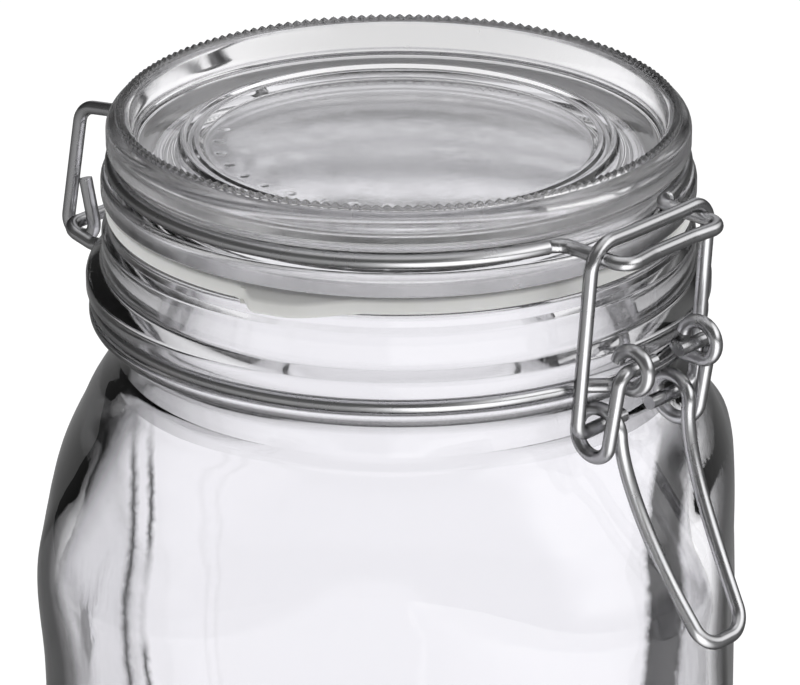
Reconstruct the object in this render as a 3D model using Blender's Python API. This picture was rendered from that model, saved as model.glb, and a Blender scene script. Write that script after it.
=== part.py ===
"""Clip top jar: a square glass jar with a hinged glass lid, a rubber gasket and a wire clamp.

Run with: blender --background --python part.py

Units: the dimensions below are millimetres, and the scene is in metres. The jar stands on
its base at the origin, +Z up, with its flat sides facing X and Y. The clamp sits over the
corner between +X and -Y, turned a little round the neck towards +X, and the hinge is opposite.

The clamp and hinge are laid out in their own frame: a is the distance from the jar's axis
towards the clamp, t the distance to the side and z the height.
"""

import math

import bpy
from mathutils import Vector

MM = 0.001
CLAMP_AZIMUTH = math.radians(-37.5)

# Jar body
BODY_HALF_WIDTH = 55.8
BODY_CORNER = 66.0  # from the axis to the rounded corner
BODY_BOW = 0.016  # how far the flat sides curve outwards, as a share of the radius
WALL = 4.4
HEEL_RADIUS = 7.0
FLOOR_HEIGHT = 7.5
FLOOR_FILLET = 8.0
MOUTH_RADIUS = 42.4
WAIST_RADIUS = 45.6
RIM_RADIUS = 47.3
RIM_HEIGHT = 146.3
JAR_SEGMENTS = 48

# Wire
WIRE_DIAMETER = 2.3
WIRE_RADIUS = WIRE_DIAMETER / 2
WIRE_BEVEL_RESOLUTION = 2
NECK_WIRE_RING = 49.45
NECK_WIRE_HEIGHT = 132.2
LID_WIRE_RING = 46.4
LID_WIRE_HEIGHT = 155.1

# Gasket and lid
GASKET_INNER = 39.9
GASKET_OUTER = 47.6
GASKET_BOTTOM = 146.6
GASKET_TOP = 149.3
TAB_AZIMUTH = math.radians(-104.5)
TAB_HALF_ANGLE = math.radians(13)
TAB_REACH = 3.2
LID_BOTTOM = 149.6
LID_TOP = 164.0
LID_SEGMENTS = 48
GASKET_SEGMENTS = 72

# Clamp: the nose on the lid wire, the lever, the bail and the hooks on the neck wire
NOSE_REACH = 56.2
NOSE_HALF_WIDTH = 12.3
NOSE_HEIGHT = 154.5
PIVOT_REACH = 56.3
PIVOT_HEIGHT = 135.9
HOOK_OFFSET = 8.2
HOOK_RADIUS = 3.2
EYE_REACH = 50.4
EYE_HEIGHT = 124.2
EYE_RADIUS = 3.85
EYE_OUTER_STRAND = 11.2
EYE_INNER_STRAND = 8.5
LEVER_PIN_END = 3.0
BAIL_PIN_RISE = 0.9  # the bail's pins sit this far above the middle of the lever's eyes
BAIL_HALF_WIDTH = 14.9
BAIL_REACH = 52.9
BAIL_HEIGHT = 158.0
BAIL_PIN_END = 3.2

# Hinge at the back
HINGE_REACH = 60.0
HINGE_HEIGHT = 132.5
HINGE_SIDE = 17.0
HINGE_LEG = 13.0

GLASS_COLOUR = (0.86, 0.9, 0.91, 1)
RUBBER_COLOUR = (0.88, 0.88, 0.85, 1)
STEEL_COLOUR = (0.66, 0.66, 0.68, 1)


def clear_scene():
    for obj in list(bpy.data.objects):
        bpy.data.objects.remove(obj, do_unlink=True)


def material(name, colour, roughness, metallic):
    made = bpy.data.materials.new(name)
    made.use_nodes = True
    shader = made.node_tree.nodes["Principled BSDF"]
    shader.inputs["Base Color"].default_value = colour
    shader.inputs["Roughness"].default_value = roughness
    shader.inputs["Metallic"].default_value = metallic
    return made


def clamp_point(a, t, z):
    """A point of the clamp's frame, in the scene's frame and still in millimetres."""
    cos = math.cos(CLAMP_AZIMUTH)
    sin = math.sin(CLAMP_AZIMUTH)
    return Vector((a * cos - t * sin, a * sin + t * cos, z))


# ---- turned and lofted pieces ----


def rounded_square_radius(angle, half_width, corner):
    """Distance from the axis to a rounded square with slightly bowed sides."""
    if corner - half_width < 0.01:
        return half_width
    squareness = (corner - half_width) / (BODY_CORNER - BODY_HALF_WIDTH)
    bow = BODY_BOW * min(squareness, 1.0)
    corner = corner / (1 - bow)
    fillet = (half_width * math.sqrt(2) - corner) / (math.sqrt(2) - 1)
    centre = half_width - fillet
    cos = abs(math.cos(angle))
    sin = abs(math.sin(angle))
    high = max(cos, sin)
    if min(cos, sin) / high * half_width <= centre:
        radius = half_width / high
    else:
        across = centre * (cos + sin)
        radius = across + math.sqrt(across**2 - 2 * centre**2 + fillet**2)
    return radius * (1 - bow * math.sin(2 * angle) ** 2)


def ring(radius_at, height, segments):
    points = []
    for index in range(segments):
        angle = 2 * math.pi * index / segments
        radius = radius_at(angle)
        points.append(Vector((radius * math.cos(angle), radius * math.sin(angle), height)))
    return points


def round_ring(radius, height, segments):
    return ring(lambda angle: radius, height, segments)


def square_ring(half_width, corner, height):
    return ring(lambda angle: rounded_square_radius(angle, half_width, corner), height, JAR_SEGMENTS)


def lofted(name, rings, closed, origin, finish):
    """A solid through rings of equal length, capped at both ends or closed into a tube."""
    segments = len(rings[0])
    points = [(point - origin) * MM for one in rings for point in one]
    faces = []
    last = len(rings) if closed else len(rings) - 1
    for row in range(last):
        low = row * segments
        high = ((row + 1) % len(rings)) * segments
        for index in range(segments):
            after = (index + 1) % segments
            faces.append((low + index, low + after, high + after, high + index))
    if not closed:
        top = (len(rings) - 1) * segments
        faces.append(tuple(reversed(range(segments))))
        faces.append(tuple(range(top, top + segments)))
    mesh = bpy.data.meshes.new(name)
    mesh.from_pydata(points, [], faces)
    mesh.validate()
    mesh.shade_smooth()
    mesh.set_sharp_from_angle(angle=math.radians(35))
    mesh.materials.append(finish)
    obj = bpy.data.objects.new(name, mesh)
    obj.location = origin * MM
    bpy.context.collection.objects.link(obj)
    return obj


def quarter_round(radius, steps):
    """(inset, rise) along a quarter circle, from a flat face into an upright wall."""
    for step in range(steps + 1):
        angle = math.pi / 2 * step / steps
        yield radius * (1 - math.sin(angle)), radius * (1 - math.cos(angle))


def make_jar_body(finish):
    rings = []
    for inset, rise in quarter_round(HEEL_RADIUS, 4):
        rings.append(square_ring(BODY_HALF_WIDTH - inset, BODY_CORNER - inset, rise))
    # Height, half width and corner distance up the side and over the shoulder
    shoulder = (
        (46.0, BODY_HALF_WIDTH + 0.2, BODY_CORNER),
        (86.0, BODY_HALF_WIDTH, BODY_CORNER),
        (92.0, 55.7, 65.2),
        (97.0, 55.6, 63.7),
        (102.0, 55.3, 61.4),
        (106.5, 54.6, 58.9),
        (110.5, 53.2, 56.4),
        (114.0, 51.3, 53.9),
        (117.5, 48.9, 51.0),
        (120.0, 47.1, 48.3),
        (122.0, 46.1, 46.4),
    )
    for height, half_width, corner in shoulder:
        rings.append(square_ring(half_width, corner, height))
    # Height and radius of the round neck: waist, lower ring, groove, bead, wall and rim
    neck = (
        (124.5, WAIST_RADIUS),
        (127.6, 46.3),
        (129.0, 49.2),
        (129.8, 50.2),
        (130.6, 50.2),
        (131.0, 48.3),
        (132.2, 48.0),
        (133.4, 48.3),
        (133.8, 50.3),
        (134.6, 50.9),
        (135.9, 50.9),
        (136.8, 50.2),
        (138.0, 48.5),
        (140.5, 48.1),
        (143.4, 48.3),
        (144.3, 47.6),
        (145.5, RIM_RADIUS),
        (RIM_HEIGHT, 46.4),
        (RIM_HEIGHT, 43.2),
        (145.5, MOUTH_RADIUS),
        (128.0, MOUTH_RADIUS),
        (122.0, 42.6),
    )
    for height, radius in neck:
        rings.append(square_ring(radius, radius, height))
    # The inside follows the outside, one wall thickness in
    inner_half = BODY_HALF_WIDTH - WALL
    inner_corner = BODY_CORNER - WALL
    inside = (
        (118.5, 43.6, 44.4),
        (115.0, 45.4, 47.4),
        (111.5, 47.4, 50.2),
        (108.0, 49.1, 52.6),
        (103.5, 50.5, 55.3),
        (98.5, 51.1, 58.0),
        (92.0, 51.3, 60.6),
        (84.0, inner_half, inner_corner),
    )
    for height, half_width, corner in inside:
        rings.append(square_ring(half_width, corner, height))
    for inset, rise in reversed(list(quarter_round(FLOOR_FILLET, 3))):
        rings.append(square_ring(inner_half - inset, inner_corner - inset, FLOOR_HEIGHT + rise))
    return lofted("jar_body", rings, False, Vector((0, 0, 0)), finish)


def make_lid_glass(origin, finish):
    # Radius and height, from the underside of the middle, out over the flange, the wire's
    # groove, the upper band and the top edge, and down into the dish to its middle panel
    profile = (
        (33.0, 153.6),
        (36.6, 153.2),
        (37.4, 148.4),
        (38.8, 148.4),
        (39.3, LID_BOTTOM),
        (47.6, LID_BOTTOM),
        (48.3, 150.3),
        (48.3, 152.6),
        (47.6, 153.3),
        (45.4, 153.6),
        (44.9, 154.6),
        (44.9, 156.2),
        (46.4, 157.3),
        (47.3, 158.4),
        (47.3, 160.6),
        (46.4, 162.4),
        (45.1, 163.3),
        (44.9, 163.9),
        (44.5, LID_TOP),
        (43.9, 163.7),
        (42.7, 158.9),
        (41.6, 158.1),
        (35.0, 158.1),
        (34.4, 158.7),
        (33.6, 158.7),
        (33.0, 158.1),
        (31.5, 157.7),
    )
    rings = [round_ring(radius, height, LID_SEGMENTS) for radius, height in profile]
    return lofted("lid_glass", rings, False, origin, finish)


def make_gasket(origin, finish):
    def outer(angle):
        away = (angle - TAB_AZIMUTH + math.pi) % (2 * math.pi) - math.pi
        if abs(away) >= TAB_HALF_ANGLE:
            return GASKET_OUTER
        return GASKET_OUTER + TAB_REACH * (1 - (away / TAB_HALF_ANGLE) ** 4)

    rings = (
        round_ring(GASKET_INNER, GASKET_BOTTOM, GASKET_SEGMENTS),
        ring(outer, GASKET_BOTTOM, GASKET_SEGMENTS),
        ring(outer, GASKET_TOP, GASKET_SEGMENTS),
        round_ring(GASKET_INNER, GASKET_TOP, GASKET_SEGMENTS),
    )
    return lofted("gasket", rings, True, origin, finish)


# ---- wires ----


def rounded_path(points, radii, steps=4):
    """The path through the points, with each corner that has a radius bent to an arc."""
    path = [points[0]]
    for before, corner, after, radius in zip(points, points[1:], points[2:], radii[1:]):
        if not radius:
            path.append(corner)
            continue
        back = (before - corner).normalized()
        ahead = (after - corner).normalized()
        half = back.angle(ahead) / 2
        middle = (back + ahead).normalized()
        centre = corner + middle * (radius / math.sin(half))
        sweep = math.pi - 2 * half
        for step in range(steps + 1):
            turn = sweep * (step / steps - 0.5)
            along = (ahead - back).normalized()
            path.append(centre + (along * math.sin(turn) - middle * math.cos(turn)) * radius)
    path.append(points[-1])
    return path


def ring_arc(radius, height, start, end, steps):
    """Points of a wire ring round the neck, by angle from the clamp."""
    points = []
    for step in range(steps + 1):
        angle = start + (end - start) * step / steps
        points.append(clamp_point(radius * math.cos(angle), radius * math.sin(angle), height))
    return points


def wire(name, path, origin, finish):
    curve = bpy.data.curves.new(name, "CURVE")
    curve.dimensions = "3D"
    curve.bevel_depth = WIRE_RADIUS * MM
    curve.bevel_resolution = WIRE_BEVEL_RESOLUTION
    curve.use_fill_caps = True
    curve.twist_mode = "MINIMUM"
    spline = curve.splines.new("POLY")
    spline.points.add(len(path) - 1)
    for place, point in zip(spline.points, path):
        place.co = (*((point - origin) * MM), 1)
    spline.use_smooth = True
    curve.materials.append(finish)
    obj = bpy.data.objects.new(name, curve)
    obj.location = origin * MM
    bpy.context.collection.objects.link(obj)
    return obj


def mirrored(points):
    """The same (a, t, z) points on the other side of the clamp, in the opposite order."""
    return [(a, -t, z) for a, t, z in reversed(points)]


def make_neck_wire(finish):
    """One wire round the neck: a hook for the lever at each end and the hinge at the back."""
    hook = [(48.9, 11.6, NECK_WIRE_HEIGHT + 0.1), (52.4, 8.9, NECK_WIRE_HEIGHT + 0.3)]
    for step in range(9):
        angle = math.radians(-100 + 265 * step / 8)
        a = PIVOT_REACH + HOOK_RADIUS * math.cos(angle)
        z = PIVOT_HEIGHT + HOOK_RADIUS * math.sin(angle)
        hook.append((a, HOOK_OFFSET + 0.3 * (1 - step / 8), z))
    leave_front = math.radians(24)
    leave_back = math.radians(180) - math.asin(HINGE_SIDE / NECK_WIRE_RING)
    root = NECK_WIRE_RING * math.cos(leave_back)
    knee = (-53.5, HINGE_SIDE, NECK_WIRE_HEIGHT - 1.2)
    corner = (-HINGE_REACH, HINGE_SIDE, HINGE_HEIGHT)
    back = [clamp_point(root, HINGE_SIDE, NECK_WIRE_HEIGHT), clamp_point(*knee), clamp_point(*corner)]
    side = ring_arc(NECK_WIRE_RING, NECK_WIRE_HEIGHT, leave_front, leave_back, 17)[:-1]
    start = [clamp_point(*point) for point in reversed(hook)]
    half = start + side + back
    radii = [0] * len(half)
    radii[len(start) - 1] = 2.4
    radii[-3:] = [2.5, 3.0, 3.0]
    other = [clamp_point(*point) for point in mirrored([to_clamp(point) for point in half])]
    path = rounded_path(half + other, radii + list(reversed(radii)))
    return wire("neck_wire", path, Vector((0, 0, 0)), finish)


def to_clamp(point):
    """The clamp-frame coordinates of a point."""
    cos = math.cos(CLAMP_AZIMUTH)
    sin = math.sin(CLAMP_AZIMUTH)
    return (point.x * cos + point.y * sin, -point.x * sin + point.y * cos, point.z)


def make_lid_wire(origin, finish):
    """One wire round the lid: the nose in the middle and a hooked leg at each end."""
    bottom = HINGE_HEIGHT - WIRE_DIAMETER - 0.35
    hook = [
        (-58.9, HINGE_LEG, 140.3),
        (-56.4, HINGE_LEG, bottom),
        (-63.6, HINGE_LEG, bottom),
        (-59.4, HINGE_LEG, LID_WIRE_HEIGHT - 2.1),
    ]
    leave_back = math.radians(180) - math.asin(HINGE_LEG / LID_WIRE_RING)
    leave_front = math.asin(NOSE_HALF_WIDTH / LID_WIRE_RING)
    side = ring_arc(LID_WIRE_RING, LID_WIRE_HEIGHT, leave_back, leave_front, 19)
    half = [clamp_point(*point) for point in hook] + side
    half.append(clamp_point(NOSE_REACH, NOSE_HALF_WIDTH, NOSE_HEIGHT))
    radii = [0, 2.6, 2.6, 4.0, 2.4] + [0] * (len(side) - 2) + [2.4, 3.0]
    other = [clamp_point(*point) for point in mirrored([to_clamp(point) for point in half])]
    path = rounded_path(half + other, radii + list(reversed(radii)))
    return wire("lid_wire", path, origin, finish)


def bezier(first, second, third, fourth, steps):
    points = []
    for step in range(1, steps + 1):
        u = step / steps
        weights = ((1 - u) ** 3, 3 * u * (1 - u) ** 2, 3 * u**2 * (1 - u), u**3)
        corners = (first, second, third, fourth)
        points.append(tuple(sum(w * p[axis] for w, p in zip(weights, corners)) for axis in range(3)))
    return points


def make_lever(origin, finish):
    """One wire: a pin at each end, a coiled eye on each side and the long loop of the handle."""
    start_angle = math.radians(-10)
    turn = math.radians(-346)
    coil = []
    for step in range(17):
        share = step / 16
        angle = start_angle + turn * share
        t = EYE_OUTER_STRAND + (EYE_INNER_STRAND - EYE_OUTER_STRAND) * share
        a = EYE_REACH + EYE_RADIUS * math.cos(angle)
        coil.append((a, t, EYE_HEIGHT + EYE_RADIUS * math.sin(angle)))
    handle = bezier(coil[-1], (53.9, 7.8, 117.0), (61.2, 7.0, 103.5), (67.0, 5.5, 94.6), 8)
    points = [(PIVOT_REACH, LEVER_PIN_END, PIVOT_HEIGHT), (PIVOT_REACH, EYE_OUTER_STRAND, PIVOT_HEIGHT)]
    points += coil + handle + [(69.3, 5.0, 90.9)]
    radii = [0, 2.0] + [0] * (len(coil) + len(handle)) + [4.2]
    whole = [clamp_point(*point) for point in points + mirrored(points)]
    path = rounded_path(whole, radii + list(reversed(radii)))
    return wire("lever", path, origin, finish)


def make_bail(origin, finish):
    """One wire: a bar over the nose, two legs and a pin turned in at the foot of each."""
    pin_height = EYE_HEIGHT + BAIL_PIN_RISE
    points = [
        (EYE_REACH, BAIL_PIN_END, pin_height),
        (EYE_REACH, BAIL_HALF_WIDTH, pin_height),
        (BAIL_REACH, BAIL_HALF_WIDTH, BAIL_HEIGHT),
    ]
    radii = [0, 2.4, 3.4]
    whole = [clamp_point(*point) for point in points + mirrored(points)]
    path = rounded_path(whole, radii + list(reversed(radii)))
    return wire("bail", path, origin, finish)


def empty(name, place):
    made = bpy.data.objects.new(name, None)
    made.location = place * MM
    bpy.context.collection.objects.link(made)
    return made


def hang(child, parent, child_origin, parent_origin):
    child.parent = parent
    child.location = (child_origin - parent_origin) * MM


def main():
    clear_scene()
    glass = material("clear glass", GLASS_COLOUR, 0.05, 0)
    rubber = material("pale rubber", RUBBER_COLOUR, 0.55, 0)
    steel = material("steel wire", STEEL_COLOUR, 0.25, 1)

    make_jar_body(glass)
    make_neck_wire(steel)

    hinge = clamp_point(-HINGE_REACH, 0, HINGE_HEIGHT)
    lid = empty("lid_axis", hinge)
    for piece in (make_lid_glass(hinge, glass), make_gasket(hinge, rubber), make_lid_wire(hinge, steel)):
        hang(piece, lid, hinge, hinge)

    pivot = clamp_point(PIVOT_REACH, 0, PIVOT_HEIGHT)
    lever = make_lever(pivot, steel)
    pins = clamp_point(EYE_REACH, 0, EYE_HEIGHT + BAIL_PIN_RISE)
    hang(make_bail(pins, steel), lever, pins, pivot)


main()
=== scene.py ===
# %% [markdown]
# A clip top jar: a square jar of pressed glass with a glass lid on a rubber gasket, shut by a
# wire clamp. The moving frame of the jar is already solved as plain solids. This lesson
# dresses it: each visible piece is modelled again, smooth and with its small detail, in
# exactly the place that the frame gives it. All sizes in the cells are in millimetres where a
# name says so, because that is how a glassworks or a wire bender would give them, and one
# factor turns them into Blender's metres.

# %% Load the frame
import math
import bmesh
import bpy
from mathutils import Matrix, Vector


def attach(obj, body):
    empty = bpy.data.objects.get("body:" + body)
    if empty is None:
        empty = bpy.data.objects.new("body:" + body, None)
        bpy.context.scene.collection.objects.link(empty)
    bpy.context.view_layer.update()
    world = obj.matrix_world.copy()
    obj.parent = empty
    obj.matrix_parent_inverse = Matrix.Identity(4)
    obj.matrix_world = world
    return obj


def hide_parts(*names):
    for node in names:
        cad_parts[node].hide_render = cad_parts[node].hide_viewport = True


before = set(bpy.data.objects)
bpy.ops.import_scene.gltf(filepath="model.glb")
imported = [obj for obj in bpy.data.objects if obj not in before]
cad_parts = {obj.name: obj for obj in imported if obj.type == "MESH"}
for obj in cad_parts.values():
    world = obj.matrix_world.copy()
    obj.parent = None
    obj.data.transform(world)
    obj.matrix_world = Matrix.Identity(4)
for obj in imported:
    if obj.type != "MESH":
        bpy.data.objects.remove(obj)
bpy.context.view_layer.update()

MM = 0.001
print("frame:", sorted(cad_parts))

# %% [markdown]
# Every piece below starts the same way. Blender's operators work on whatever is selected, so
# a maker's first habit is to deselect everything. The next cell holds the few habits that
# all the pieces share: start clean, name what was made, pick points by where they are, and
# report what was made.

# %% Working habits
def start_clean():
    """Leave edit mode and deselect everything."""
    if bpy.context.mode != "OBJECT":
        bpy.ops.object.mode_set(mode="OBJECT")
    bpy.ops.object.select_all(action="DESELECT")


def pick(choose):
    """In edit mode, select only the points for which choose(place in mm) is true."""
    bpy.ops.mesh.select_mode(type="VERT")
    bpy.ops.mesh.select_all(action="DESELECT")
    sheet = bmesh.from_edit_mesh(bpy.context.edit_object.data)
    for point in sheet.verts:
        point.select = bool(choose(point.co / MM))
    sheet.select_flush_mode()
    bmesh.update_edit_mesh(bpy.context.edit_object.data)


def finish_piece(name, body, node, sharp=30):
    """Leave edit mode, give the piece its name and shading, and put it on its moving body."""
    start_clean()
    piece = bpy.context.view_layer.objects.active
    piece.select_set(True)
    bpy.ops.object.transform_apply(location=True, rotation=True, scale=True)
    bpy.ops.object.mode_set(mode="EDIT")
    bpy.ops.mesh.select_all(action="SELECT")
    bpy.ops.mesh.normals_make_consistent(inside=False)
    bpy.ops.object.mode_set(mode="OBJECT")
    bpy.ops.object.shade_smooth_by_angle(angle=math.radians(sharp))
    piece.name = name
    piece.data.name = name
    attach(piece, body)
    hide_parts(node)
    size = [round(side / MM, 1) for side in piece.dimensions]
    print(name, "is", size, "mm with", len(piece.data.polygons), "faces")
    return piece

# %% [markdown]
# Round glass is pressed in a round mould, so each level of it is a circle. The way to build
# it by hand is to draw the first circle, then extrude it and scale it, level by level, up the
# outside, over the rim and down the inside. The shoulder of a square jar needs one thing more:
# its levels turn from a rounded square into a circle. Blender's To Sphere does exactly that to
# a ring, by a share from 0 to 1, so one number per level tells how round the jar is there.

# %% Raising a wall ring by ring
def raise_ring(factor, lift):
    """Extrude the selected ring, scale it about the jar's axis and lift it."""
    bpy.ops.mesh.extrude_region_move(TRANSFORM_OT_translate={"value": (0, 0, lift * MM)})
    bpy.ops.transform.resize(value=(factor, factor, 1), center_override=(0, 0, 0))


def turn_profile(profile, segments, middle="NGON"):
    """A turned piece from (radius, height) pairs in mm, whose middle is filled or left open."""
    start_clean()
    radius, height = profile[0]
    bpy.ops.mesh.primitive_circle_add(
        vertices=segments, radius=radius * MM, fill_type=middle, location=(0, 0, height * MM)
    )
    bpy.ops.object.transform_apply(location=True)
    bpy.ops.object.mode_set(mode="EDIT")
    bpy.ops.mesh.select_all(action="SELECT")
    for wide, high in profile[1:]:
        raise_ring(wide / radius, high - height)
        radius, height = wide, high


def bridge_open_rings():
    """In edit mode, close a wall by a band of faces between its two open rings."""
    bpy.ops.mesh.select_mode(type="EDGE")
    bpy.ops.mesh.select_all(action="DESELECT")
    bpy.ops.mesh.select_non_manifold(
        extend=False, use_wire=False, use_multi_face=False, use_verts=False
    )
    bpy.ops.mesh.bridge_edge_loops()

# %% [markdown]
# No corner of glass, rubber or bent wire is sharp. An outline is therefore written as its
# corners, each with the radius that rounds it, as on a workshop drawing. The next cell turns
# such a corner into short steps on a true arc. Blender's Bevel would round a finished mesh
# too, but then the levels could no longer be read off the list.

# %% Rounding the corners of an outline
def rounded(before, corner, after, bend, spacing, fewest):
    """The arc of radius bend that rounds one corner of a path, as points."""
    back, ahead = before - corner, after - corner
    half = back.angle(ahead) / 2
    back, ahead = back.normalized(), ahead.normalized()
    inner = (back + ahead).normalized()
    along = (ahead - back).normalized()
    centre = corner + inner * (bend / math.sin(half))
    sweep = math.pi - 2 * half
    count = max(fewest, math.ceil(sweep * bend / spacing))
    turns = [sweep * (step / count - 0.5) for step in range(count + 1)]
    return [centre + (along * math.sin(turn) - inner * math.cos(turn)) * bend for turn in turns]


def bent(points, bends, spacing=0.5, fewest=3):
    """The path through the points, with each corner that has a bend radius made an arc."""
    path = [points[0]]
    for before, corner, after, bend in zip(points, points[1:], points[2:], bends[1:]):
        path += rounded(before, corner, after, bend, spacing, fewest) if bend else [corner]
    return path + [points[-1]]


def soft_profile(corners, spacing):
    """Bend a (radius, height, corner radius) outline into short steps with true arcs."""
    points = [Vector(corner[:2]) for corner in corners]
    return bent(points, [corner[2] for corner in corners], spacing, fewest=2)


example = soft_profile(((0, 0, 0), (10, 0, 5), (10, 10, 0)), spacing=0.5)
print("a corner of radius 5 mm becomes", len(example) - 2, "points")

# %% [markdown]
# The lid is thick pressed glass. Underneath it has a shallow plug that centres it in the
# mouth. Outside, going up, come the flange that sits on the gasket, the groove for the wire,
# a rounded band, and a crest of small beads that gives the fingers a grip. Inside the crest
# the glass drops into a dish with a low double ring. The whole lid is one turned outline, so
# it is raised ring by ring. The number of segments is four for each bead, so that the beads
# can be shaped from the same skin and the glass stays one solid.

# %% Lid: the outline
BEADS = 176
CREST = 164.0
PANEL = 157.6  # the plain middle of the dish
PANEL_EDGE = 30.2
LID_OUTLINE = (  # radius, height and corner radius in mm, from the underside to the dish
    (8.0, 153.5, 0),
    (36.4, 153.4, 1.6),
    (37.3, 148.4, 0.5),
    (38.9, 148.4, 0.4),
    (39.3, 149.6, 0.3),
    (48.3, 149.6, 0.9),
    (48.3, 153.5, 1.2),
    (45.0, 153.6, 0.6),
    (44.9, 156.5, 0.9),
    (47.3, 157.6, 1.4),
    (47.3, 162.0, 2.2),
    (45.7, 163.1, 0.2),
    (45.5, CREST, 0.45),
    (44.5, CREST, 0.45),
    (44.2, 162.9, 0.2),
    (43.4, 162.6, 0.6),
    (42.6, 158.0, 1.6),
    (35.7, 158.1, 0.3),
    (35.2, 158.9, 0.35),
    (34.4, 158.9, 0.35),
    (34.0, 158.2, 0.25),
    (33.4, 158.2, 0.25),
    (33.0, 158.6, 0.3),
    (32.3, 158.6, 0.3),
    (31.4, PANEL, 0.5),
    (PANEL_EDGE, PANEL, 0),
    (27.8, PANEL, 0),
    (8.0, 157.5, 0),
)
lid_profile = soft_profile(LID_OUTLINE, spacing=0.45)
# The dots need short steps on the panel, so the stretch under them is cut finely
fine = [Vector((PANEL_EDGE - 0.3 * step, PANEL)) for step in range(1, 8)]
lid_profile[-2:-2] = fine
turn_profile(lid_profile, segments=BEADS * 4)
print("lid outline in", len(lid_profile), "rings")

# %% [markdown]
# The crest of the lid is a ring of small beads, so that wet fingers can turn and lift it. The
# mould has a row of hollows there. Beads could be added as small spheres, but they would cut
# into the ring and the glass would no longer be one skin. So every fourth column of points of
# the turned ring stays up as the top of a bead, and the columns between sink beside it.

# %% Lid: the beads on the crest
BEAD_FROM = 163.3  # points above this height belong to the beads
BEAD_ROOT = 163.1
BEAD_CIRCLE = 45.0
BEAD_DROPS = ((1.0, 0.42), (0.5, 0.12))  # share of the way between two beads, and its sinking
BEAD_FLATTENING = 0.3


def bead_share(place):
    """0 at the top of a bead and 1 halfway between two beads."""
    turn = math.atan2(place.y, place.x) / (2 * math.pi) * BEADS
    return abs(turn - round(turn)) * 2


for share, drop in BEAD_DROPS:
    pick(lambda place: place.z > BEAD_FROM and abs(bead_share(place) - share) < 0.1)
    bpy.ops.transform.translate(value=(0, 0, -drop * MM))
    bpy.ops.transform.resize(
        value=(1, 1, 1 - BEAD_FLATTENING * share), center_override=(0, 0, BEAD_ROOT * MM)
    )
print(BEADS, "beads, one every", round(2 * math.pi * BEAD_CIRCLE / BEADS, 2), "mm")

# %% [markdown]
# A short run of raised dots stands on the panel of the dish, as a mould leaves them. Each could
# be a small dome set on the panel. Here it is a small patch of the panel itself, drawn up a
# little, because a pressed dot and the glass round it are one piece.

# %% Lid: the small dots in the dish
DOTS = 10
DOT_CIRCLE = 29.0
DOT_HEIGHT = 0.15
DOT_RADIUS = 0.75
FIRST_DOT = math.radians(172)
DOT_SPACING = math.radians(11)
for number in range(DOTS):
    turn = FIRST_DOT + DOT_SPACING * number
    centre = Vector((DOT_CIRCLE * math.cos(turn), DOT_CIRCLE * math.sin(turn), PANEL))
    pick(lambda place: (place - centre).length < DOT_RADIUS)
    bpy.ops.transform.translate(value=(0, 0, DOT_HEIGHT * MM))
bpy.ops.object.mode_set(mode="OBJECT")
lid_glass = finish_piece("lid_pressed_glass", "lid", "lid_glass", sharp=50)

# %% [markdown]
# The jar itself starts as the square of its base. Bevelling the four corner points gives the
# rounded square, cutting the long sides gives them points enough to bow, and a little of To
# Sphere makes them bow outwards, as blown and pressed sides do. From there the wall is raised
# ring by ring: up the side, over the shoulder while To Sphere takes the square to a circle,
# round the two ring beads of the neck, over the rim and a little way down into the mouth. The
# inside below that starts from a base square of its own.

# %% Jar: the base square
HALF_WIDTH = 56.0  # across the flats, from the axis
CORNER_ROUND = 28.6
SIDE_CUTS = 31
CORNER_STEPS = 20
HEEL = 7.0


def draw_base_square():
    """A rounded square on the floor, in edit mode and all selected."""
    start_clean()
    bpy.ops.mesh.primitive_plane_add(size=2 * HALF_WIDTH * MM, location=(0, 0, 0))
    bpy.ops.object.mode_set(mode="EDIT")
    bpy.ops.mesh.select_all(action="SELECT")
    bpy.ops.mesh.bevel(
        offset=CORNER_ROUND * MM, segments=CORNER_STEPS, affect="VERTICES", offset_type="OFFSET"
    )
    bpy.ops.mesh.select_mode(type="EDGE")
    sheet = bmesh.from_edit_mesh(bpy.context.edit_object.data)
    for edge in sheet.edges:
        edge.select = edge.calc_length() > 20 * MM
    bmesh.update_edit_mesh(bpy.context.edit_object.data)
    bpy.ops.mesh.subdivide(number_cuts=SIDE_CUTS)
    bpy.ops.mesh.select_mode(type="VERT")
    bpy.ops.mesh.select_all(action="SELECT")
    sheet = bmesh.from_edit_mesh(bpy.context.edit_object.data)
    return [(point.co / MM).length for point in sheet.verts]


base_ring = draw_base_square()
MEAN = sum(base_ring) / len(base_ring)
SQUARE_SIDE = min(base_ring)
SQUARE_CORNER = max(base_ring)
print("base ring of", len(base_ring), "points")
print("mean radius", round(MEAN, 2), "mm and to the corner", round(SQUARE_CORNER, 2), "mm")

# %% [markdown]
# A real mould is cut from a drawing that gives, level by level, how wide the jar is across its
# flats and how far it is to a corner. That pair is all this jar needs too: it tells how much
# of To Sphere a level has had, and how far it was then scaled. Between the given levels the
# wall follows a smooth curve, as a mould maker's file would leave it, so the list stays short.

# %% Jar: how round each level is
def roundness(half, corner):
    """The share of To Sphere that gives a level this half width and distance to the corner."""
    spread = corner * (MEAN - SQUARE_SIDE) + half * (SQUARE_CORNER - MEAN)
    return min(1.0, max(0.0, (half * SQUARE_CORNER - corner * SQUARE_SIDE) / spread))


def scale_at(half, share):
    """How far the base square is scaled to be this wide, once it has had its share."""
    return half / (SQUARE_SIDE + (MEAN - SQUARE_SIDE) * share)


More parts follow.
